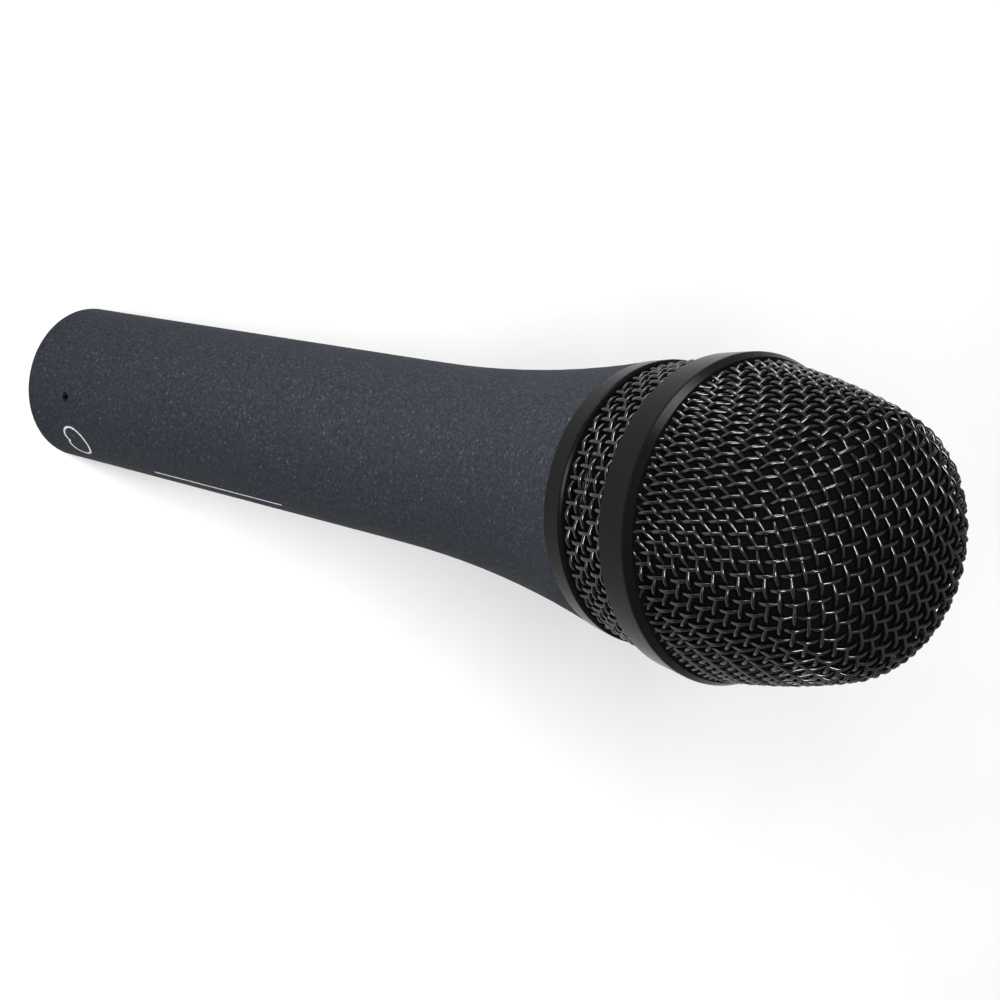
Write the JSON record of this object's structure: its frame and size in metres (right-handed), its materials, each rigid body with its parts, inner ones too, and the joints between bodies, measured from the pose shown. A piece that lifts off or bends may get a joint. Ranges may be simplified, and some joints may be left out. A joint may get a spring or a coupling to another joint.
{
  "type": "dynamic microphone",
  "caption": "Handheld dynamic microphone with a tapered metal handle, a woven wire head that unscrews, a sprung capsule and a male cable connector in the tail.",
  "frame": {"origin": "centre of the tail's end face, where the microphone stands", "axes": "+Z along the microphone's axis from the tail to the front of the head; +X towards contact 1 of the connector"},
  "size_m": [0.048, 0.048, 0.18],
  "materials": {
    "handle_paint": "matte, fine-grained slate paint",
    "head_paint": "satin black paint",
    "wire_paint": "satin black paint on woven steel wire",
    "foam": "open-cell foam",
    "collar_metal": "turned, threaded",
    "plated_shell": "satin nickel plate",
    "contact_plate": "gold-plated contacts",
    "insulator": "moulded",
    "screw_steel": "blackened",
    "rubber": "matt",
    "capsule_plastic": "moulded",
    "magnet_metal": "sintered, ground",
    "yoke_metal": "zinc plate",
    "copper": "enamelled winding wire",
    "film": "thin translucent film",
    "cloth": "fine woven",
    "felt": "pressed felt",
    "board": "paper laminate",
    "solder_metal": "tinned",
    "laminations": "stacked laminations",
    "wire_red": "insulated wire",
    "wire_white": "insulated wire"
  },
  "bodies": {
    "handle_body": {"handle": "handle_paint", "xlr_shell": "plated_shell", "xlr_carrier": "insulator", "xlr_pin_1": "contact_plate", "xlr_pin_2": "contact_plate", "xlr_pin_3": "contact_plate", "ground_washer": "contact_plate", "set_screw": "screw_steel", "thread_collar": "collar_metal", "isolator": "rubber", "isolator_clamp": "insulator", "transformer_core": "laminations", "transformer_winding": "copper", "transformer_boot": "rubber", "terminal_board": "board", "signal_wire_2": "wire_red", "signal_wire_3": "wire_white", "board_wire_1": "wire_red", "board_wire_2": "wire_white", "capsule_lead_1": "wire_red", "capsule_lead_2": "wire_white"},
    "capsule_body": {"capsule_housing": "capsule_plastic", "yoke_carrier": "capsule_plastic", "magnet_yoke": "yoke_metal", "magnet": "magnet_metal", "pole_plate": "yoke_metal", "surround": "film", "surround_clamp": "capsule_plastic", "capsule_cap": "capsule_plastic", "front_cloth": "cloth", "rear_felt": "felt", "rear_chamber": "capsule_plastic", "terminal_strip": "board", "solder_lug_1": "solder_metal", "solder_lug_2": "solder_metal"},
    "diaphragm_body": {"diaphragm": "film", "voice_coil": "copper"},
    "head_liner": {"head_foam": "foam"},
    "head_shell": {"base_ring": "head_paint", "lower_mesh": "wire_paint", "mid_ring": "head_paint", "upper_mesh": "wire_paint"}
  },
  "joints": [
    {"name": "capsule_float", "type": "slide", "parent": "handle_body", "child": "capsule_body", "axis": [0, 0, 1], "range_m": [-0.0008, 0.0008], "stiffness_N_per_m": 4000, "deforming": ["isolator", "capsule_lead_1", "capsule_lead_2"]},
    {"name": "diaphragm_travel", "type": "slide", "parent": "capsule_body", "child": "diaphragm_body", "axis": [0, 0, 1], "range_m": [-0.0003, 0.0003], "stiffness_N_per_m": 400, "deforming": ["surround"]},
    {"name": "head_lift", "type": "slide", "parent": "handle_body", "child": "head_liner", "axis": [0, 0, 1], "range_m": [0, 0.006]},
    {"name": "head_unscrew", "type": "hinge", "parent": "head_liner", "child": "head_shell", "pos_m": [0, 0, 0.1306], "axis": [0, 0, 1], "range_deg": [0, 2160]}
  ],
  "couplings": [
    {"joint": "head_unscrew", "follows": "head_lift", "rad_per_m": 6283.2}
  ]
}
